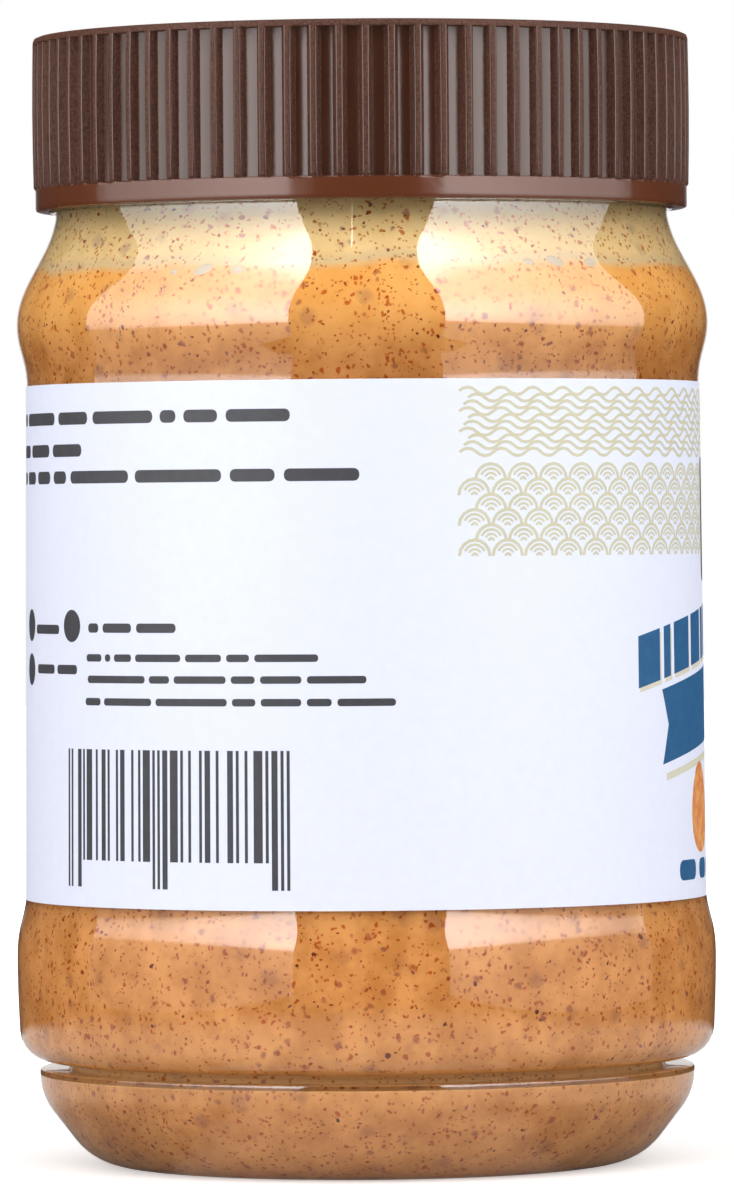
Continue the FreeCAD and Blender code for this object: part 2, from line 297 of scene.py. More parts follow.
# %% Shared group: flecks
def make_fleck_group():
    """Round soft-edged flecks, one at most to a cell; sizes are shares of a cell."""
    group = bpy.data.node_groups.new("flecks", "ShaderNodeTree")
    for name in ("Cells per metre", "Radius", "Softness", "Share of cells"):
        group.interface.new_socket(name, in_out="INPUT", socket_type="NodeSocketFloat")
    group.interface.new_socket("Mask", in_out="OUTPUT", socket_type="NodeSocketFloat")
    given = group.nodes.new("NodeGroupInput").outputs
    place = object_place(group)
    wobble = add(group, "TexNoise", Vector=place, Scale=1500.0, Detail=0.0)
    shifted = maths(group, "MULTIPLY_ADD", wobble.outputs["Color"],
                    (0.0006, 0.0006, 0.0006), place, kind="VectorMath")
    cells = add(group, "TexVoronoi", Vector=shifted, Scale=given["Cells per metre"])
    chance = add(group, "SeparateColor", Color=cells.outputs["Color"]).outputs
    has_fleck = maths(group, "LESS_THAN", chance[0], given["Share of cells"])
    radius = maths(group, "MULTIPLY", given["Radius"], chance[1])
    outer = maths(group, "ADD", radius, given["Softness"])
    edge = ramp(group, cells.outputs["Distance"], radius, outer, 1.0, 0.0, smooth=True)
    end = group.nodes.new("NodeGroupOutput")
    group.links.new(maths(group, "MULTIPLY", edge, has_fleck), end.inputs["Mask"])
    return group


FLECKS = make_fleck_group()


def use_group(tree, group, *values):
    """A group placed in a material with its own values; returns its output."""
    node = tree.nodes.new("ShaderNodeGroup")
    node.node_tree = group
    for socket, value in zip(node.inputs, values):
        socket.default_value = value
    return node.outputs[0]


def flecks(tree, per_metre, radius, softness, share):
    return use_group(tree, FLECKS, per_metre, radius, softness, share)


print("fleck group has", len(FLECKS.nodes), "nodes")

# %% Shared group: grain
def make_grain_group():
    """Fine noise about a middle of one half, for a Bump node's height or a tint."""
    group = bpy.data.node_groups.new("grain", "ShaderNodeTree")
    for name, way in (("Grains per metre", "INPUT"), ("Value", "OUTPUT")):
        group.interface.new_socket(name, in_out=way, socket_type="NodeSocketFloat")
    start = group.nodes.new("NodeGroupInput")
    noise = add(group, "TexNoise", Vector=object_place(group),
                Scale=start.outputs[0], Detail=3.0, Roughness=0.6)
    end = group.nodes.new("NodeGroupOutput")
    group.links.new(noise.outputs[0], end.inputs[0])
    return group


GRAIN = make_grain_group()


def grain(tree, per_metre):
    return use_group(tree, GRAIN, per_metre)


def grain_bump(tree, shader, per_metre, depth, strength):
    """A grain that changes only the normal, with its depth in metres."""
    bump = add(tree, "Bump", Strength=strength, Distance=depth,
               Height=grain(tree, per_metre))
    tree.links.new(bump.outputs[0], shader.inputs["Normal"])


def tint(tree, per_metre, spread, first, second):
    """Two colours mixed by a grain; spread is half the range that it covers."""
    share = ramp(tree, grain(tree, per_metre), 0.5 - spread, 0.5 + spread)
    return mix_colour(tree, share, first, second)


def matt_finish(name, first, second, per_metre, spread, roughness, specular):
    """A finish whose colour changes a little with a grain."""
    finish, shader = new_finish(name, roughness, specular)
    colour = tint(finish.node_tree, per_metre, spread, first, second)
    finish.node_tree.links.new(colour, shader.inputs["Base Color"])
    return finish, shader


print("grain group has", len(GRAIN.nodes), "nodes")

# %% [markdown]
# The jar is turned about its axis, so its half section is drawn once and spun. The
# section is a walk: a run extrudes the last vertex, and a bend spins it about the
# middle of its arc. The heading is 0 outwards and 90 upwards. The same walk, moved
# inwards by the wall, draws the inside, so wall and filling always follow the outside.

# %% A walk along a half section
class Walk:
    def __init__(self, bm, radius, height, heading, inset):
        self.bm = bm
        self.tip = bm.verts.new((radius, 0, height))
        self.heading = heading
        self.inset = inset

    def run_to(self, radius, height):
        made = bmesh.ops.extrude_vert_indiv(self.bm, verts=[self.tip])
        self.tip = made["verts"][0]
        self.tip.co = (radius, 0, height)

    def run(self, length):
        angle = math.radians(self.heading)
        self.run_to(self.tip.co.x + length * math.cos(angle),
                    self.tip.co.z + length * math.sin(angle))

    def bend(self, radius, turn):
        """A positive turn goes left, towards the inside, where the arc gets tighter."""
        side = math.copysign(1, turn)
        radius -= side * self.inset
        to_middle = math.radians(self.heading + 90 * side)
        middle = self.tip.co + radius * Vector((math.cos(to_middle), 0,
                                                math.sin(to_middle)))
        steps = max(2, round(abs(math.radians(turn)) * radius / 0.8))
        made = bmesh.ops.spin(self.bm, geom=[self.tip], cent=middle, axis=(0, -1, 0),
                              angle=math.radians(turn), steps=steps)
        self.tip = of_kind(made["geom_last"], bmesh.types.BMVert)[0]
        self.heading += turn

    def shift(self, sideways, first, second, slope):
        """A sideways step of two bends with a straight run between them."""
        by_bends = (first + second) * (1 - math.cos(math.radians(slope)))
        straight = (abs(sideways) - by_bends) / math.sin(math.radians(abs(slope)))
        self.bend(first, slope)
        if straight > 0.01:
            self.run(straight)
        self.bend(second, -slope)


def slope_of(sideways, bends):
    """The slope of a step of two bends that has no straight run."""
    return math.degrees(math.acos(1 - sideways / bends))


print("walk ready")

# %% Sizes of the jar, in millimetres
WALL, FLOOR_WALL, NECK_BORE = 0.7, 1.5, 32.0
STANDING_RADIUS, STANDING_RING = 26.2378, 1.0
PUSH_UP, PUSH_UP_BEND = 3.0, 6.0
FOOT_RADIUS, FOOT_HEIGHT, FOOT_SIDE, FOOT_CORNER = 35.96, 10.7, 0.7, 0.3
HEEL_LOWER_BEND, HEEL_UPPER_BEND, FOOT_SLOPE = 7.5, 6.5, 38     # slope in degrees
GROOVE_ROOT, GROOVE_HEIGHT = 32.51, 0.9
BODY_RADIUS, NECK_RADIUS, LIP_BEND, LIP_INSET = 38.4, 33.6, 3.4, 0.25
LOWER_BULGE, UPPER_BULGE, CREST_BEND, PANEL_BEND = 1.12, 1.22, 8.5, 4.0
PANEL_BOTTOM, PANEL_TOP = 29.2, 86.8
PANEL_BOTTOM_RADIUS, PANEL_TOP_RADIUS = 37.28, 36.88
NECK_INSET, NECK_BEND, SHOULDER_SLOPE = 4.5, 7.5, 29            # slope in degrees
NECK_HEIGHT, LID_BOTTOM, LID_TOP, TOP_PLATE = 104.442, 104.692, 123.692, 1.4
RIM_HEIGHT = LID_TOP - TOP_PLATE
PALE_BAND, HIDDEN_FILL = 5.9, 4.3
BUTTER_LEVEL, FILL_LEVEL = LID_BOTTOM - PALE_BAND, LID_BOTTOM + HIDDEN_FILL
lid_low, lid_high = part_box("lid")
print("lid in the frame:", round(lid_low[2] / MM, 2), "to", round(lid_high[2] / MM, 2))

# %% The jar's half section
def walk_floor(bm, inset, lift):
    """Raised floor, standing ring and heel, lifted by the floor's thickness."""
    ring_inside = STANDING_RADIUS - STANDING_RING
    dip = 2 * math.atan(PUSH_UP / ring_inside)
    walk = Walk(bm, 0, PUSH_UP + lift, 0, 0)
    walk.bend(ring_inside / math.sin(dip) - PUSH_UP_BEND, -math.degrees(dip))
    walk.bend(PUSH_UP_BEND, math.degrees(dip))
    walk.run(STANDING_RING)
    walk.bend(HEEL_LOWER_BEND, 90 - FOOT_SLOPE)
    rise = (FOOT_HEIGHT - FOOT_SIDE - HEEL_UPPER_BEND * math.sin(math.radians(FOOT_SLOPE))
            - (walk.tip.co.z - lift))
    walk.run(rise / math.cos(math.radians(FOOT_SLOPE)))
    side = FOOT_RADIUS - inset
    upright = math.degrees(math.acos(1 - inset / HEEL_UPPER_BEND))
    walk.bend(HEEL_UPPER_BEND, FOOT_SLOPE - upright)
    walk.inset = inset
    walk.heading = 90
    return walk, side


def walk_jar(bm, inset, lift):
    """From the middle of the floor to the top of the shoulder."""
    walk, side = walk_floor(bm, inset, lift)
    if inset > FOOT_CORNER:
        walk.run_to(side, FOOT_HEIGHT - inset)
        walk.heading = 180
    else:
        walk.run(FOOT_HEIGHT - FOOT_CORNER - walk.tip.co.z)
        walk.bend(FOOT_CORNER, 90)
    walk.run(walk.tip.co.x - GROOVE_ROOT - GROOVE_HEIGHT / 2)
    walk.bend(GROOVE_HEIGHT / 2, -180)
    bends = CREST_BEND + PANEL_BEND
    slope = slope_of(LOWER_BULGE, bends)
    crest = PANEL_BOTTOM - bends * math.sin(math.radians(slope))
    lip_top = FOOT_HEIGHT + GROOVE_HEIGHT + LIP_BEND
    lean = 2 * math.atan(LIP_INSET / (crest - lip_top))
    turn = math.pi / 2 - lean
    walk.run(BODY_RADIUS - LIP_INSET - LIP_BEND * math.sin(turn) - walk.tip.co.x)
    walk.bend(LIP_BEND, math.degrees(turn))
    walk.bend((crest - walk.tip.co.z) / math.sin(lean) + inset, math.degrees(lean))
    walk.shift(LOWER_BULGE, CREST_BEND, PANEL_BEND, slope)
    walk.run_to(PANEL_TOP_RADIUS - inset, PANEL_TOP)
    walk.heading = 90
    walk.shift(UPPER_BULGE, PANEL_BEND, CREST_BEND, -slope_of(UPPER_BULGE, bends))
    return walk


def walk_shoulder(walk, turned_back=SHOULDER_SLOPE):
    """The shoulder, whose upper bend is followed only as far as turned_back."""
    slope = math.radians(SHOULDER_SLOPE)
    by_bends = (CREST_BEND + NECK_BEND) * (1 - math.cos(slope))
    walk.bend(CREST_BEND, SHOULDER_SLOPE)
    walk.run((NECK_INSET - by_bends) / math.sin(slope))
    walk.bend(NECK_BEND, -turned_back)


def ease(bm, low, high):
    """Soften the joints between the arcs, as blown plastic does of itself."""
    def within(vert):
        return low < vert.co.z < high and vert.co.x > 30

    for edge in bm.edges[:]:
        if edge.calc_length() > 1.1 and all(within(v) for v in edge.verts):
            bmesh.ops.subdivide_edges(bm, edges=[edge],
                                      cuts=round(edge.calc_length() / 0.8) - 1)
    eased = [v for v in bm.verts if within(v)]
    for _ in range(6):
        bmesh.ops.smooth_vert(bm, verts=eased, factor=0.5, use_axis_x=True,
                              use_axis_y=True, use_axis_z=True)
    bmesh.ops.dissolve_limit(bm, verts=eased, edges=bm.edges[:],
                             angle_limit=math.radians(0.25))


def spin_round(bm, segments=144):
    """Turn the half section into a closed surface of revolution."""
    bmesh.ops.spin(bm, geom=bm.verts[:] + bm.edges[:], cent=(0, 0, 0), axis=(0, 0, 1),
                   angle=2 * math.pi, steps=segments, use_merge=True)
    bmesh.ops.remove_doubles(bm, verts=bm.verts, dist=0.0005)
    bmesh.ops.recalc_face_normals(bm, faces=bm.faces)


def finish_piece(bm, name, finishes, sharp=40):
    """Scale a drawing to metres and make it an object of the body, with its finishes."""
    bmesh.ops.scale(bm, vec=(MM, MM, MM), verts=bm.verts)
    piece = new_object(bm, name, finishes)
    piece.data.shade_smooth()
    piece.data.set_sharp_from_angle(angle=math.radians(sharp))
    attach(piece, "root")
    print(name, len(piece.data.polygons), "faces")
    return piece


print("jar section ready")

# %% [markdown]
# The jar is clear blown plastic. A camera ray goes through it as through thin glass;
# a shadow ray passes straight through, so the filling is lit as it is in a real jar.

# %% Finish: clear plastic
clear_plastic, shader = new_finish("clear_plastic", 0.035)
tree = clear_plastic.node_tree
shader.inputs["Base Color"].default_value = (1, 1, 1, 1)
shader.inputs["IOR"].default_value = 1.57
shader.inputs["Transmission Weight"].default_value = 1.0
ripple = add(tree, "TexNoise", Vector=object_place(tree), Scale=60.0, Detail=0.0)
bump = add(tree, "Bump", Strength=0.1, Distance=0.0006, Height=ripple.outputs[0])
tree.links.new(bump.outputs[0], shader.inputs["Normal"])
shadow_free = tree.nodes.new("ShaderNodeBsdfTransparent")
is_shadow = tree.nodes.new("ShaderNodeLightPath").outputs["Is Shadow Ray"]
pass_shadow = mix_shaders(tree, is_shadow, shader, shadow_free)
tree.links.new(pass_shadow.outputs[0], tree.nodes["Material Output"].inputs[0])
print("clear plastic ready")

# %% The jar's wall
# the bead under the lid: radius of each corner, and its height over the lid's foot
BEAD = ((NECK_RADIUS, -0.25), (34.05, -0.25), (34.2, -0.1), (34.2, 0.45),
        (33.95, 0.65), (NECK_RADIUS, 0.65))
PARTING = -1.6                  # degrees from the camera's side to the mould's joint
EASED = (15.0, 103.5)           # heights between which the section is softened
INNER_TURN = 22.3               # degrees of the neck's bend that the inside follows
RIDGE_HIGH, RIDGE_LOW, RIDGE_HALF = 0.025, 0.015, 0.08


def raise_parting_line(bm):
    """A hair-thin ridge up both sides, where the two halves of the mould met."""
    angle = math.radians(PARTING)
    across = Vector((math.cos(angle), math.sin(angle), 0))
    for offset in (-RIDGE_HALF, 0.0, RIDGE_HALF):
        bmesh.ops.bisect_plane(bm, geom=all_of(bm),
                               plane_co=across * offset, plane_no=across, dist=0.001)
    for vert in bm.verts:
        out = vert.co.copy()
        out.z = 0
        if abs(vert.co.dot(across)) < 0.002 and out.length > 30:
            vert.co += out.normalized() * (RIDGE_HIGH if vert.co.z > 98 else RIDGE_LOW)


def make_wall():
    wall = bmesh.new()
    walk = walk_jar(wall, 0.0, 0.0)
    walk_shoulder(walk)
    for radius, height in BEAD:
        walk.run_to(radius, LID_BOTTOM + height)
    walk.run_to(NECK_RADIUS, RIM_HEIGHT)
    ease(wall, *EASED)
    spin_round(wall)
    raise_parting_line(wall)
    inside = bmesh.new()
    walk = walk_jar(inside, WALL, FLOOR_WALL)
    walk_shoulder(walk, INNER_TURN)
    walk.run_to(NECK_BORE, NECK_HEIGHT)
    walk.run_to(NECK_BORE, RIM_HEIGHT)
    ease(inside, *EASED)
    spin_round(inside)
    bmesh.ops.reverse_faces(inside, faces=inside.faces)
    kept = bpy.data.meshes.new("inside")
    inside.to_mesh(kept)
    inside.free()
    wall.from_mesh(kept)
    bpy.data.meshes.remove(kept)
    rims = [e for e in wall.edges if e.is_boundary]
    bmesh.ops.bridge_loops(wall, edges=rims)
    return wall


wall = make_wall()
bmesh.ops.recalc_face_normals(wall, faces=wall.faces)
jar_wall = finish_piece(wall, "jar_wall", [clear_plastic], 30)
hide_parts("jar")

# %% [markdown]
# The filling wets the plastic, so no air shows between them. Its skin is the jar's
# inside moved a twentieth of a millimetre into the wall. The lower part is stirred
# butter; the top is paler, where oil has come up, and is made lighter still as painted
# light where the lid shades it. The line between them is soft and a little wavy, so one
# colour rule is used in both pieces. That rule also paints light on the upturned
# shoulder and in the groove above the foot.

# %% Finish: almond butter and its pale top
def step_up(tree, value, low, high):
    """A soft step from 0 to 1 between two heights in millimetres."""
    return ramp(tree, value, low * MM, high * MM, smooth=True)


# cells to a metre, radius, softness, share of cells, and what it does to the butter
GROUND_SKIN = ((280, 0.12, 0.30, 0.50, (0.76, 0.72, 0.88, 1)),
               (620, 0.16, 0.20, 0.50, (0.62, 0.46, 0.60, 1)),
               (1200, 0.25, 0.15, 0.60, (0.68, 0.34, 0.20, 1)),
               (2000, 0.29, 0.17, 0.50, (0.68, 0.40, 0.28, 1)))


def filling_finish(name):
    """Butter below and pale oily paste above, with cloudy patches and ground skin, and
    painted light on the shoulder, under the lid and in the groove.
    """
    finish, shader = new_finish(name, 0.6, 0.0)
    tree = finish.node_tree
    height = parts_of(tree, object_place(tree))["Z"]
    wave = maths(tree, "MULTIPLY_ADD", grain(tree, 60), 0.0028, height)
    cloud = ramp(tree, grain(tree, 210), 0.36, 0.64)
    rich = mix_colour(tree, cloud, srgb(208, 143, 76), srgb(234, 171, 103))
    # Painted light: from 87 mm up, on the shoulder that faces upwards, the butter is
    # painted lighter, as if lit from above.
    shoulder_painted_light = mix_colour(tree, cloud, srgb(243, 180, 96), srgb(252, 196, 114))
    # The pale paste is the top's own paler colour, made lighter still as painted light
    # where the lid's edge shades the neck.
    pale_paste_and_painted_light = mix_colour(tree, cloud, srgb(240, 211, 150), srgb(250, 223, 166))
    butter = mix_colour(tree, step_up(tree, height, 87, 95), rich, shoulder_painted_light)
    film_top = step_up(tree, wave, BUTTER_LEVEL + 0.7, BUTTER_LEVEL + 1.9)
    film = mix_colour(tree, film_top, srgb(228, 206, 160), pale_paste_and_painted_light)
    butter_top = step_up(tree, wave, BUTTER_LEVEL - 0.4, BUTTER_LEVEL + 0.8)
    colour = mix_colour(tree, butter_top, butter, film)
    # Painted light: the butter in the groove above the foot is painted much lighter, in
    # place of the light that reaches the groove's shade in the real jar.
    groove_painted_light = maths(tree, "SUBTRACT", step_up(tree, height, 9.9, 10.3),
                   step_up(tree, height, 11.9, 12.4))
    colour = mix_colour(tree, groove_painted_light, colour, srgb(255, 218, 158))
    for per_metre, radius, softness, share, stain in GROUND_SKIN:
        spot = flecks(tree, per_metre, radius, softness, share)
        colour = mix_colour(tree, spot, colour, stain, "MULTIPLY")
    tree.links.new(colour, shader.inputs["Base Color"])
    return finish


butter_finish = filling_finish("ground_almonds")
print("filling finish has", len(butter_finish.node_tree.nodes), "nodes")

# %% The butter and the pale layer
REACH = 0.05                    # how far the filling's skin goes into the wall


def make_whole_filling():
    """The filling's half section up to its top, before it is parted at the level."""
    filling = bmesh.new()
    walk = walk_jar(filling, WALL - REACH, FLOOR_WALL - REACH)
    walk_shoulder(walk, INNER_TURN)
    walk.run_to(NECK_BORE + REACH, NECK_HEIGHT)
    walk.run_to(NECK_BORE + REACH, FILL_LEVEL)
    walk.run_to(0, FILL_LEVEL)
    ease(filling, *EASED)
    return filling


def part_at_level(keep_below):
    """Spin the filling and cut it flat at the butter's level."""
    filling = make_whole_filling()
    spin_round(filling)
    cut = bmesh.ops.bisect_plane(
        filling, geom=all_of(filling),
        plane_co=(0, 0, BUTTER_LEVEL), plane_no=(0, 0, 1), dist=0.0001,
        clear_outer=keep_below, clear_inner=not keep_below)
    rim = of_kind(cut["geom_cut"], bmesh.types.BMEdge)
    bmesh.ops.contextual_create(filling, geom=rim)
    bmesh.ops.recalc_face_normals(filling, faces=filling.faces)
    return filling


section = make_whole_filling()
SKIN = sorted((v.co.z, v.co.x) for v in section.verts if v.co.x > 25)
section.free()
butter_core = finish_piece(part_at_level(True), "butter_core", [butter_finish],
                           60)
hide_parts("almond_butter")
pale_layer = finish_piece(part_at_level(False), "pale_layer", [butter_finish],
                          60)
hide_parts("oil_layer")

# %% [markdown]
# Bits of almond skin lie in the butter against the plastic. Each is a small flat flake
# with an uneven outline, half sunk in the filling. They are scattered over the skin
# wherever no label covers it, in three colours, many small ones and few large ones.

# %% Where the filling's skin is
def skin_at(height):
    """Radius and slope of the filling's skin at a height."""
    for (low, near), (high, far) in zip(SKIN, SKIN[1:]):
        if low <= height <= high and high - low > 0.02:
            share = (height - low) / (high - low)
            return near + (far - near) * share, (far - near) / (high - low)
    return None


def place_on_skin(azimuth, height, proud=0.0):
    """A matrix that stands a piece on the skin: X along it, Y up it, Z outwards."""
    radius, slope = skin_at(height)
    angle = math.radians(azimuth)
    outward = Vector((math.sin(angle), -math.cos(angle), 0))
    along = Vector((math.cos(angle), math.sin(angle), 0))
    up = (outward * slope + Vector((0, 0, 1))).normalized()
    normal = along.cross(up)
    middle = outward * radius + Vector((0, 0, height)) + normal * proud
    turn = Matrix((along, up, normal)).transposed().to_4x4()
    return Matrix.Translation(middle) @ turn


print("skin from", round(SKIN[0][0], 1), "to", round(SKIN[-1][0], 1), "mm")

# %% Flakes of almond skin
LABEL_LEFT, LABEL_RIGHT = -90.4, 251.16         # degrees from the camera's side
BATCH = 30                      # flakes are made in small lots, which is much quicker
HALF_THICK = 0.035              # half a flake's thickness


def under_label(azimuth, height):
    turned = (azimuth - LABEL_LEFT) % 360
    return 30.5 < height < 84.5 and 2 < turned < LABEL_RIGHT - LABEL_LEFT - 2


def scatter(name, finish, count, length, spread, longest):
    """Many flat flakes on the skin; length is a usual one's in millimetres."""
    places = []
    while len(places) < count:
        azimuth = random.uniform(-180, 180)
        height = random.uniform(1.6, 104.0)
        in_groove = 9.6 < height < 12.8
        if in_groove or under_label(azimuth, height) or skin_at(height) is None:
            continue
        long = min(length * random.lognormvariate(0, spread), longest)
        wide = long * random.uniform(0.4, 0.9)
        places.append(place_on_skin(azimuth, height)
                      @ Matrix.Rotation(random.uniform(0, math.pi), 4, "Z")
                      @ Matrix.Diagonal((long / 2, wide / 2, HALF_THICK, 1)))
    joined = bmesh.new()
    for start in range(0, count, BATCH):
        bm = bmesh.new()
        for shape in places[start:start + BATCH]:
            flake = bmesh.ops.create_icosphere(bm, subdivisions=1, radius=1)
            for vert in flake["verts"]:
                vert.co *= random.uniform(0.65, 1.25)
            bmesh.ops.transform(bm, matrix=shape, verts=flake["verts"])
        batch = bpy.data.meshes.new("batch")
        bm.to_mesh(batch)
        bm.free()
        joined.from_mesh(batch)
        bpy.data.meshes.remove(batch)
    return finish_piece(joined, name, [finish], 80)


def skin_finish(name, colour, second):
    return matt_finish(name, colour, second, 2600, 0.1, 0.6, 0.0)[0]


scatter("skin_red_brown", skin_finish("red_brown_skin", srgb(160, 76, 34),
                                      srgb(184, 96, 48)), 2600, 0.27, 0.42, 0.8)
scatter("skin_dark", skin_finish("dark_skin", srgb(98, 46, 30), srgb(126, 62, 40)),
        800, 0.26, 0.5, 0.9)
scatter("skin_sunken", skin_finish("sunken_skin", srgb(166, 104, 74),
                                   srgb(156, 94, 80)), 500, 0.45, 0.4, 1.2)

# %% [markdown]
# A few flat bubbles of air are caught against the plastic just below the pale layer.

# %% Caught bubbles
bubble_finish, shader = new_finish("caught_air", 0.25)
shader.inputs["Base Color"].default_value = srgb(196, 184, 160)
grain_bump(bubble_finish.node_tree, shader, 1200, 0.0002, 0.4)
# degrees from the camera's side, height, width, tallness and tilt of each bubble
BUBBLES = ((-33.6, 97.0, 0.9, 0.7, 10), (-27.9, 97.2, 2.3, 1.3, 25),
           (-21.4, 97.1, 1.5, 1.1, -10), (29.8, 97.8, 1.3, 0.9, 0),
           (35.3, 97.9, 2.2, 1.2, -20), (43.2, 97.8, 1.6, 1.2, 10))
bm = bmesh.new()
for azimuth, height, wide, tall, tilt in BUBBLES:
    bubble = bmesh.ops.create_uvsphere(bm, u_segments=24, v_segments=12, radius=1)
    shape = (place_on_skin(azimuth, height, -0.05)
             @ Matrix.Rotation(math.radians(tilt), 4, "Z")
             @ Matrix.Diagonal((wide / 2, tall / 2, 0.12, 1)))
    bmesh.ops.transform(bm, matrix=shape, verts=bubble["verts"])
finish_piece(bm, "caught_bubbles", [bubble_finish])

# %% [markdown]
# The lid is one share of a rib and a recess, repeated 81 times round the axis. The
# share starts as a curved patch of the lid's side. The recess face is extruded
# inwards and narrowed, its edges are bevelled so that they catch the light, and the
# share is spun with copies that are then merged.

# %% Finishes: lid
lid_gloss, shader = new_finish("lid_gloss", 0.2, 0.3)
tree = lid_gloss.node_tree
brown = tint(tree, 240, 0.2, srgb(60, 32, 20), srgb(68, 37, 23))
height = parts_of(tree, object_place(tree))["Z"]
# Painted shade: the glossy faces above the smooth band, mostly the recess floors between
# the ribs, are painted darker than the band.
above_band_painted_shade = step_up(tree, height, LID_BOTTOM + 2.2, LID_BOTTOM + 2.6)
brown = mix_colour(tree, above_band_painted_shade, srgb(92, 48, 27), brown)
tree.links.new(brown, shader.inputs["Base Color"])
grain_bump(tree, shader, 900, 0.00006, 0.25)
lid_grained, shader = matt_finish("lid_grained", srgb(55, 30, 21), srgb(92, 60, 48),
                                  4200, 0.15, 0.5, 0.12)
grain_bump(lid_grained.node_tree, shader, 4200, 0.00012, 0.6)
print("lid finishes ready")

# %% The lid
LID_RADIUS, BAND_RADIUS, LID_BORE = 36.0, 35.8, 34.35
RIBS, RIB_TOP, FLANK, RECESS = 81, 0.68, 0.34, 0.85
PITCH = 360.0 / RIBS
BAND_TOP, RIBS_BOTTOM = LID_BOTTOM + 2.35, LID_BOTTOM + 2.55
RECESS_TOP, MIDDLE = LID_TOP - 0.75, (LID_BOTTOM + 2.55 + LID_TOP) / 2
TOP_RING, DISH_RADIUS, DISH_DEPTH, LID_TURN = 33.2, 32.9, 0.2, 0.9
GLOSS, GRAINED = 0, 1
# radius and height of each row of corners, from the band's foot to the top's edge
ROWS = ((BAND_RADIUS - 0.25, LID_BOTTOM), (BAND_RADIUS - 0.07, LID_BOTTOM + 0.07),
        (BAND_RADIUS, LID_BOTTOM + 0.25), (BAND_RADIUS, LID_BOTTOM + 0.6),
        (BAND_RADIUS, BAND_TOP - 0.3), (BAND_RADIUS, BAND_TOP),
        (LID_RADIUS, RIBS_BOTTOM), (LID_RADIUS + 0.07, RIBS_BOTTOM + 4.0),
        (LID_RADIUS + 0.1, MIDDLE), (LID_RADIUS + 0.07, LID_TOP - 4.5),
        (LID_RADIUS + 0.01, RECESS_TOP), (LID_RADIUS, LID_TOP - 0.45),
        (LID_RADIUS - 0.13, LID_TOP - 0.13), (LID_RADIUS - 0.45, LID_TOP))


def around(radius, degrees, height):
    """A place on the lid, with 0 degrees at the nearest rib's middle."""
    angle = math.radians(degrees)
    return Vector((radius * math.sin(angle), -radius * math.cos(angle), height))


def make_share():
    """One rib and recess as a patch of quads, three columns wide."""
    bm = bmesh.new()
    half_rib = math.degrees(RIB_TOP / 2 / LID_RADIUS)
    columns = (0.0, half_rib, PITCH - half_rib, PITCH)
    first = [bm.verts.new(around(r, columns[0], z)) for r, z in ROWS]
    line = [bm.edges.new(pair) for pair in zip(first, first[1:])]
    for left, right in zip(columns, columns[1:]):
        made = bmesh.ops.extrude_edge_only(bm, edges=line)["geom"]
        moved = of_kind(made, bmesh.types.BMVert)
        line = [e for e in of_kind(made, bmesh.types.BMEdge)
                if all(v in moved for v in e.verts)]
        bmesh.ops.rotate(bm, cent=(0, 0, 0), verts=moved,
                         matrix=Matrix.Rotation(math.radians(right - left), 3, "Z"))
    bm.faces.ensure_lookup_table()
    middle = math.radians(PITCH / 2)
    outward = Vector((math.sin(middle), -math.cos(middle), 0))
    sideways = Vector((-outward.y, outward.x, 0))
    pocket = []
    for face in bm.faces:
        centre = face.calc_center_median()
        face.material_index = GRAINED if centre.z > BAND_TOP else GLOSS
        if BAND_TOP < centre.z < RECESS_TOP and centre.xy.angle(outward.xy) < 0.01:
            pocket.append(face)
    pushed = bmesh.ops.extrude_face_region(bm, geom=pocket)["geom"]
    bmesh.ops.delete(bm, geom=pocket, context="FACES")
    floor_faces = of_kind(pushed, bmesh.types.BMFace)
    floor_verts = {v for f in floor_faces for v in f.verts}
    for vert in floor_verts:
        vert.co -= sideways * math.copysign(FLANK, vert.co.dot(sideways))
        vert.co.xy *= (LID_RADIUS - RECESS) / vert.co.xy.length
    for face in floor_faces:
        face.material_index = GLOSS
    bmesh.ops.recalc_face_normals(bm, faces=bm.faces)
    edges = [e for e in bm.edges if len(e.link_faces) == 2
             and e.calc_face_angle(0) > math.radians(30)
             and BAND_TOP - 0.05 < (e.verts[0].co.z + e.verts[1].co.z) / 2
             < RECESS_TOP + 0.05]
    bmesh.ops.bevel(bm, geom=edges, offset=0.1, affect="EDGES", segments=2,
                    profile=0.5, material=-1)
    bm.normal_update()
    for face in bm.faces:
        centre = face.calc_center_median()
        lean = face.normal.xy.angle(centre.xy, 0)
        if math.radians(10) < lean < math.radians(62) and centre.z < RECESS_TOP:
            outer = centre.xy.length > LID_RADIUS - RECESS / 2
            face.material_index = GLOSS if outer else GRAINED
    return bm


share = make_share()
print("one share of the lid:", len(share.faces), "faces")

# %% The lid's shares joined
def extrude_rim(bm, edges, radius, height):
    """Extrude open edges, move the new ones to a radius and height, and return them."""
    made = bmesh.ops.extrude_edge_only(bm, edges=edges)["geom"]
    moved = set(of_kind(made, bmesh.types.BMVert))
    for vert in moved:
        vert.co.xy *= radius / vert.co.xy.length
        vert.co.z = height
    return [e for e in bm.edges if e.is_boundary and all(v in moved for v in e.verts)]


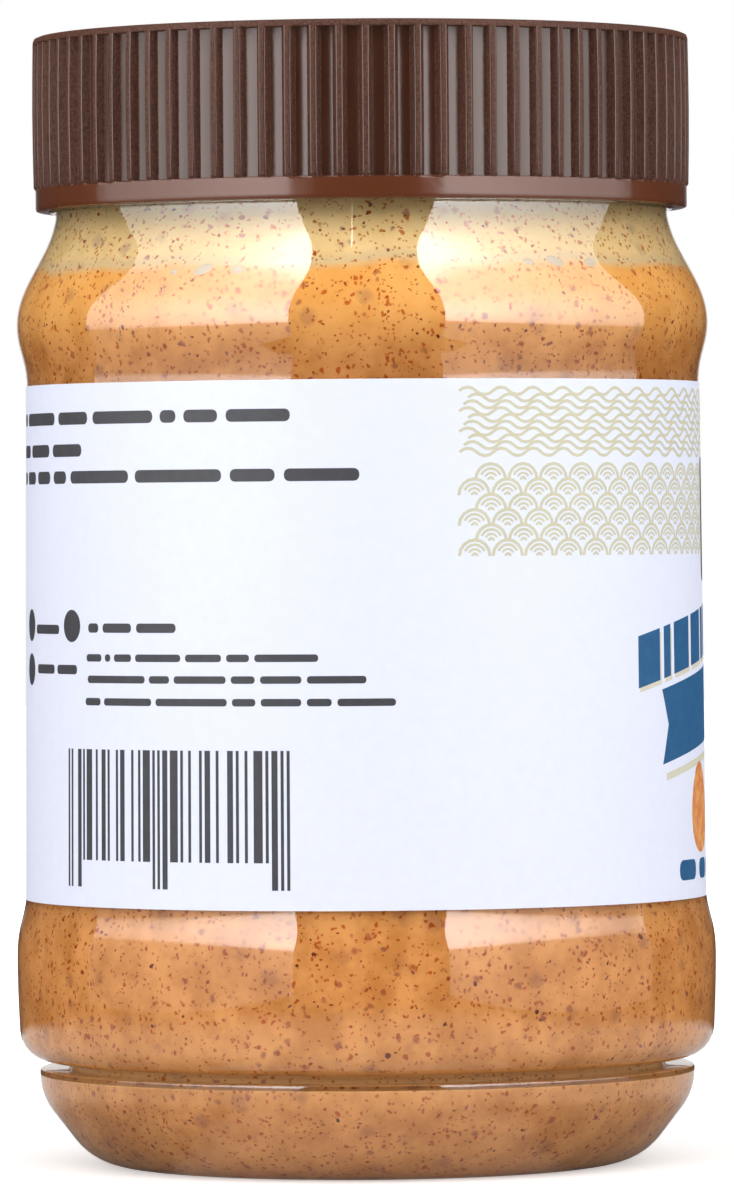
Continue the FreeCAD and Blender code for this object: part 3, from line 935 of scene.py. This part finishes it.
def close_lid(bm):
    """Repeat the share, then close the top and turn the inside."""
    bmesh.ops.spin(bm, geom=all_of(bm), cent=(0, 0, 0),
                   axis=(0, 0, 1), angle=2 * math.pi, steps=RIBS, use_duplicate=True)
    bmesh.ops.remove_doubles(bm, verts=bm.verts, dist=0.002)
    rim = [e for e in bm.edges if e.is_boundary
           and (e.verts[0].co.z + e.verts[1].co.z) / 2 > LID_TOP - 0.1]
    for radius, height in ((TOP_RING, LID_TOP), (DISH_RADIUS, LID_TOP - DISH_DEPTH),
                           (0, LID_TOP - DISH_DEPTH)):
        rim = extrude_rim(bm, rim, radius, height)
    bmesh.ops.remove_doubles(bm, verts=bm.verts, dist=0.002)
    for radius, height in ((LID_BORE, LID_BOTTOM), (LID_BORE, RIM_HEIGHT),
                           (0, RIM_HEIGHT)):
        extrude_rim(bm, [e for e in bm.edges if e.is_boundary], radius, height)
    bmesh.ops.remove_doubles(bm, verts=bm.verts, dist=0.002)
    for face in bm.faces:
        if face.calc_center_median().z > LID_TOP - 0.3 and face.normal.z > 0.3:
            face.material_index = GRAINED
    bmesh.ops.recalc_face_normals(bm, faces=bm.faces)
    bmesh.ops.rotate(bm, cent=(0, 0, 0), verts=bm.verts,
                     matrix=Matrix.Rotation(math.radians(LID_TURN), 3, "Z"))


close_lid(share)
screw_lid = finish_piece(share, "screw_lid", [lid_gloss, lid_grained], 35)
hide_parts("lid")

# %% [markdown]
# The label is paper, wrapped once round the recessed panel. It is drawn flat, with its
# corners rounded, then cut into narrow upright strips and wrapped, and so is all its
# print. X is the distance along the paper from the camera's side and Y the height.

# %% Wrapping flat shapes
PANEL_MIDDLE = 37.2             # millimetres of paper to a radian
STRIP = 1.3                     # width of the upright strips


def paper_radius(height):
    share = (height - PANEL_BOTTOM) / (PANEL_TOP - PANEL_BOTTOM)
    return PANEL_BOTTOM_RADIUS + (PANEL_TOP_RADIUS - PANEL_BOTTOM_RADIUS) * share


def wrap(bm, step=STRIP):
    """Cut flat shapes into strips, and wrap them; Z is the height over the panel."""
    low = min(v.co.x for v in bm.verts)
    high = max(v.co.x for v in bm.verts)
    at = (math.floor(low / step) + 1) * step if step else high
    while at < high:
        near = [f for f in bm.faces if min(v.co.x for v in f.verts) < at
                < max(v.co.x for v in f.verts)]
        if near:
            parts = {v for f in near for v in f.verts} | {e for f in near for e in f.edges}
            bmesh.ops.bisect_plane(bm, geom=list(parts) + near, plane_co=(at, 0, 0),
                                   plane_no=(1, 0, 0), dist=0.0001)
        at += step
    for vert in bm.verts:
        along, height, proud = vert.co
        angle = along / PANEL_MIDDLE
        radius = paper_radius(height) + proud
        vert.co = (radius * math.sin(angle), -radius * math.cos(angle), height)


def thicken(bm, low, high):
    """Give flat shapes a thickness, from one height over the panel to another."""
    made = bmesh.ops.extrude_face_region(bm, geom=bm.faces[:])["geom"]
    top = set(of_kind(made, bmesh.types.BMVert))
    for vert in bm.verts:
        vert.co.z = high if vert in top else low
    bmesh.ops.recalc_face_normals(bm, faces=bm.faces)


def plate(bm, left, right, bottom, top, corner=0.0, segments=6):
    """A flat rectangle, with rounded corners if a radius is given."""
    made = bmesh.ops.create_grid(bm, x_segments=1, y_segments=1, size=0.5)["verts"]
    size = Matrix.Diagonal((right - left, top - bottom, 1, 1))
    middle = Matrix.Translation(((left + right) / 2, (bottom + top) / 2, 0))
    bmesh.ops.transform(bm, matrix=middle @ size, verts=made)
    if corner:
        bmesh.ops.bevel(bm, geom=made, offset=corner, affect="VERTICES",
                        segments=segments, profile=0.5, material=-1)


print("wrapping ready")

# %% Finish: label paper
def paper_finish(name, first, second):
    """Coated paper, or ink on it, with the faintest mottle."""
    finish, shader = matt_finish(name, first, second, 700, 0.2, 0.55, 0.3)
    grain_bump(finish.node_tree, shader, 2400, 0.00002, 0.2)
    return finish


label_white = paper_finish("label_white", srgb(223, 227, 245), srgb(226, 230, 247))
print("paper ready")

# %% The label
LEFT_END = math.radians(LABEL_LEFT) * PANEL_MIDDLE
RIGHT_END = math.radians(LABEL_RIGHT) * PANEL_MIDDLE
LABEL_BOTTOM, LABEL_TOP, PAPER = 29.25, 85.5, 0.12
paper = bmesh.new()
plate(paper, LEFT_END, RIGHT_END, LABEL_BOTTOM, LABEL_TOP, 3.5, 8)
thicken(paper, 0.0, PAPER)
wrap(paper)
label_paper = finish_piece(paper, "label_paper", [label_white])
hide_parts("label")
print("paper", round(RIGHT_END - LEFT_END, 1), "mm long")

# %% [markdown]
# The print is plain: bars stand for lines of words, discs for small signs, and a row
# of stripes fills the place of a price mark. Each ink is one piece, a hundredth of a
# millimetre proud of the paper, as a printed film is.

# %% Print helpers
def ink_piece(bm, name, finish, step=STRIP, proud=0.012):
    """Step is the width of the strips; shapes made of small faces need none."""
    thicken(bm, PAPER - 0.02, PAPER + proud)
    wrap(bm, step)
    finish_piece(bm, name, [finish])


def word_bars(bm, left, right, middle, height, words):
    """A line of words as bars with round ends; words gives their shares of the line."""
    gap = height * 0.75
    room = right - left - gap * (len(words) - 1)
    at = left
    for share in words:
        wide = room * share / sum(words)
        plate(bm, at, at + wide, middle - height / 2, middle + height / 2,
              height * 0.42, 3)
        at += wide + gap


def disc(bm, x, y, radius, sides=24):
    bmesh.ops.create_circle(bm, cap_ends=True, radius=radius, segments=sides,
                            matrix=Matrix.Translation((x, y, 0)))


dark_ink = paper_finish("dark_ink", srgb(52, 52, 56), srgb(60, 60, 64))
print("inks ready")

# %% Dark print on the side that faces the camera
# left end, right end, middle height and height of each line, and its words' lengths
LINES = ((-55.0, -7.8, 81.75, 1.35, (2, 10, 6, 9, 2, 4, 7)),
         (-55.0, -35.6, 78.3, 1.35, (4, 6, 6)),
         (-55.0, -0.4, 75.4, 1.35, (2, 4, 4, 3, 10, 11, 5, 8)),
         (-47.5, -40.5, 59.0, 1.0, (5,)), (-34.3, -21.2, 59.2, 1.0, (2, 5, 6)),
         (-47.0, -36.5, 54.7, 1.0, (6, 5)),
         (-34.6, -4.9, 56.0, 0.8, (3, 1, 3, 7, 5, 3, 8)),
         (-34.4, 0.2, 53.7, 0.8, (10, 3, 7, 3, 5, 7)),
         (-34.8, 3.3, 51.3, 0.8, (3, 8, 10, 3, 5, 3, 7)))
bm = bmesh.new()
for line in LINES:
    word_bars(bm, *line)
for x, y in ((-50.0, 59.4), (-37.6, 59.4), (-50.0, 54.6)):
    disc(bm, x, y, 1.75)
ink_piece(bm, "dark_bars_and_discs", dark_ink)

# %% Stripes
STRIPE = 31.6 / 95                              # the narrowest stripe's width
WIDTHS = (1, 1, 1, 3, 2, 1, 1, 1, 3, 2, 1, 2, 2, 1, 1, 3, 1, 1, 2, 3, 1, 2, 1, 1, 3, 1,
          1, 1, 1, 1, 2, 1, 3, 1, 1, 2, 1, 3, 1, 1, 2, 2, 1, 3, 2, 1, 1, 2, 1, 2, 3, 1,
          1, 1, 2, 1, 1, 1, 1)
bm = bmesh.new()
at, dark = -38.3, True
for index, width in enumerate(WIDTHS):
    long = index < 6 or index > len(WIDTHS) - 7 or 26 <= index <= 30
    if dark:
        plate(bm, at, at + width * STRIPE, 31.4 if long else 34.3, 46.2)
    at += width * STRIPE
    dark = not dark
ink_piece(bm, "stripes", dark_ink)
print("stripes end at", round(at, 2))

# %% [markdown]
# The panel beside them is rows of nested scallops under waving lines, a traditional
# pattern, in khaki on the white paper. Khaki covers nearly half of it.

# %% Patterned panel
khaki_ink = paper_finish("khaki_ink", srgb(194, 190, 163), srgb(202, 198, 172))
ART_LEFT, ART_RIGHT, ART_BOTTOM, ART_TOP = 10.0, 136.0, 66.5, 85.2


def arch(bm, x, y, radius, width, start=0, end=180):
    """A band along part of a circle, spun from one short edge."""
    a = math.radians(start)
    inner = bm.verts.new((x + (radius - width) * math.cos(a),
                          y + (radius - width) * math.sin(a), 0))
    outer = bm.verts.new((x + radius * math.cos(a), y + radius * math.sin(a), 0))
    edge = bm.edges.new((inner, outer))
    bmesh.ops.spin(bm, geom=[inner, outer, edge], cent=(x, y, 0), axis=(0, 0, 1),
                   angle=math.radians(end - start),
                   steps=max(4, round((end - start) / 22)))


bm = bmesh.new()
SCALLOP, SCALLOP_ROWS = 1.9, 6
for row in range(SCALLOP_ROWS):
    y = ART_BOTTOM + 0.15 + row * SCALLOP * 0.85
    x = ART_LEFT + SCALLOP + 0.1 + (row % 2) * SCALLOP
    while x + SCALLOP < ART_RIGHT:
        for radius, width, cut in ((SCALLOP, 0.36, 0), (SCALLOP * 0.72, 0.3, 26),
                                   (SCALLOP * 0.46, 0.26, 30), (SCALLOP * 0.22, 0.3, 0)):
            arch(bm, x, y, radius, width, cut, 180 - cut)
        x += 2 * SCALLOP
WAVE = 1.35
y = ART_BOTTOM + SCALLOP_ROWS * SCALLOP * 0.85 + 1.5
line = 0
while y < ART_TOP - 0.9:
    x, up = ART_LEFT + WAVE + (line % 3) * 0.5, True
    while x + WAVE < ART_RIGHT:
        side, start = (-1, 45) if up else (1, 225)
        arch(bm, x, y + side * WAVE * 0.707, WAVE + 0.17, 0.34, start, start + 90)
        x += WAVE * 1.414
        up = not up
    y += 0.72
    line += 1
ink_piece(bm, "khaki_scallops", khaki_ink, None)

# %% [markdown]
# The front of the label has a dark plaque, a bowed row of blue blocks, a bowed ribbon
# with notched ends over its khaki shadow, and four almonds. Blocks and ribbon are grids
# whose middle is lifted.

# %% Front of the label
FRONT_MIDDLE, FRONT_HALF = 73.0, 39.0
blue_ink = paper_finish("blue_ink", srgb(18, 78, 122), srgb(26, 88, 134))
almond_ink = paper_finish("almond_ink", srgb(196, 98, 36), srgb(232, 172, 104))
shadow_ink = paper_finish("shadow_ink", srgb(206, 202, 182), srgb(212, 208, 190))


def ribbon(bm, start, end, bottom, top, lift, notch):
    """A strip between two distances from the front's middle, bowed up, ends notched."""
    pieces = math.ceil((end - start) / 2)
    made = bmesh.ops.create_grid(bm, x_segments=pieces, y_segments=2, size=1)["verts"]
    for vert in made:
        along, across = vert.co.x, vert.co.y
        if abs(along) > 0.99 and abs(across) < 0.01:
            along -= math.copysign(notch * 2 / (end - start), along)
        place = (start + end) / 2 + (end - start) / 2 * along
        vert.co.x = FRONT_MIDDLE + place
        vert.co.y = ((top + bottom) / 2 + (top - bottom) / 2 * across
                     + lift * (1 - (place / FRONT_HALF) ** 2))


bm = bmesh.new()
plate(bm, 54.0, 92.0, 63.7, 77.3, 1.2, 4)
ink_piece(bm, "front_plaque", dark_ink, proud=0.018)
LIFT = 4.0
NAME_BARS = [(-39.1 + 13.1 * group + start, width) for group in range(6)
             for start, width in ((0.0, 4.3), (5.2, 1.6), (7.7, 4.5))]
bm = bmesh.new()
for start, width in NAME_BARS:
    ribbon(bm, start + 0.3, start + width + 0.3, 51.8, 57.4, LIFT, 0.0)
ribbon(bm, -33.6, 33.6, 41.2, 42.0, LIFT, 0.0)
ink_piece(bm, "front_shadows", shadow_ink)
bm = bmesh.new()
for start, width in NAME_BARS:
    ribbon(bm, start, start + width, 52.3, 57.9, LIFT, 0.0)
ribbon(bm, -34.4, 34.4, 43.1, 51.2, LIFT, 1.4)
word_bars(bm, 42.4, 62.0, 32.4, 2.2, (4, 3, 5))
ink_piece(bm, "front_bars_and_ribbon", blue_ink, proud=0.018)

# %% Almonds and a ruled table of bars
bm = bmesh.new()
for x, y, tilt in ((50.6, 39.1, 96), (61.8, 39.3, 70), (73.2, 38.6, 104), (84.8, 38.2, 84)):
    nut = bmesh.ops.create_circle(bm, cap_ends=True, radius=1, segments=28)["verts"]
    for vert in nut:
        vert.co.y *= 0.8 - 0.16 * vert.co.x
    bmesh.ops.transform(bm, verts=nut, matrix=Matrix.Translation((x, y, 0))
                        @ Matrix.Rotation(math.radians(tilt), 4, "Z")
                        @ Matrix.Diagonal((5.0, 5.0, 1, 1)))
ink_piece(bm, "front_almonds", almond_ink)
TABLE_LEFT, TABLE_RIGHT, TABLE_LOW, TABLE_HIGH = 139.0, 160.5, 33.5, 82.5
bm = bmesh.new()
for x in (TABLE_LEFT, TABLE_RIGHT):
    plate(bm, x - 0.15, x + 0.15, TABLE_LOW, TABLE_HIGH)
for y in (TABLE_LOW, TABLE_HIGH):
    plate(bm, TABLE_LEFT + 0.2, TABLE_RIGHT - 0.2, y - 0.15, y + 0.15)
word_bars(bm, TABLE_LEFT + 1.5, TABLE_RIGHT - 1.5, TABLE_HIGH - 3.2, 2.4, (5, 4))
for line in range(12):
    y = TABLE_HIGH - 7.4 - 3.4 * line
    plate(bm, TABLE_LEFT + 1.2, TABLE_RIGHT - 1.2, y - 1.75, y - 1.6)
    word_bars(bm, TABLE_LEFT + 1.5, TABLE_LEFT + 8.0 + line % 3 * 1.6, y, 0.9, (3, 4))
    word_bars(bm, TABLE_RIGHT - 4.2, TABLE_RIGHT - 1.5, y, 0.9, (1,))
ink_piece(bm, "ruled_table", dark_ink)

# %% [markdown]
# The table is a plain pale surface. It glows a little to the camera, so that it meets
# the white room without a line, and still takes the jar's shadow. To glossy rays it is
# painted dark beyond about 0.2 m and partly dark close beside the jar's left and right:
# painted shade in what the plastic mirrors of it.

# %% Table
PALE, DIM = (0.86, 0.86, 0.86, 1), (0.03, 0.03, 0.03, 1)
floor_finish, shader = new_finish("table", 0.6, 0.2)
tree = floor_finish.node_tree
shader.inputs["Emission Color"].default_value = (1, 1, 1, 1)
rays = tree.nodes.new("ShaderNodeLightPath").outputs
place = object_place(tree)
reach = maths(tree, "LENGTH", place, kind="VectorMath")
glow = maths(tree, "MULTIPLY", rays["Is Camera Ray"],
             ramp(tree, reach, 0.08, 0.5, 0.45, 1.0))
tree.links.new(glow, shader.inputs["Emission Strength"])
# Painted reflection: to glossy rays only, the table is dark far off and partly dark close
# beside the jar.
far = ramp(tree, reach, 0.15, 0.2)
near = ramp(tree, reach, 0.041, 0.055, 0.6, 0.0)
aside = step_up(tree, maths(tree, "ABSOLUTE", parts_of(tree, place)["X"]), 19, 23)
painted_reflection_shade = maths(tree, "MAXIMUM", far, maths(tree, "MULTIPLY", near, aside))
glossy_painted_shade = maths(tree, "MULTIPLY", rays["Is Glossy Ray"], painted_reflection_shade)
tree.links.new(mix_colour(tree, glossy_painted_shade, PALE, DIM), shader.inputs["Base Color"])
bm = bmesh.new()
bmesh.ops.create_grid(bm, x_segments=1, y_segments=1, size=2.5)
bmesh.ops.translate(bm, vec=(0, 0, -0.00002), verts=bm.verts)
table = new_object(bm, "table", [floor_finish])
print("table", table.dimensions.x, "m wide")

# %% Colour management
bpy.context.scene.view_settings.view_transform = "Standard"
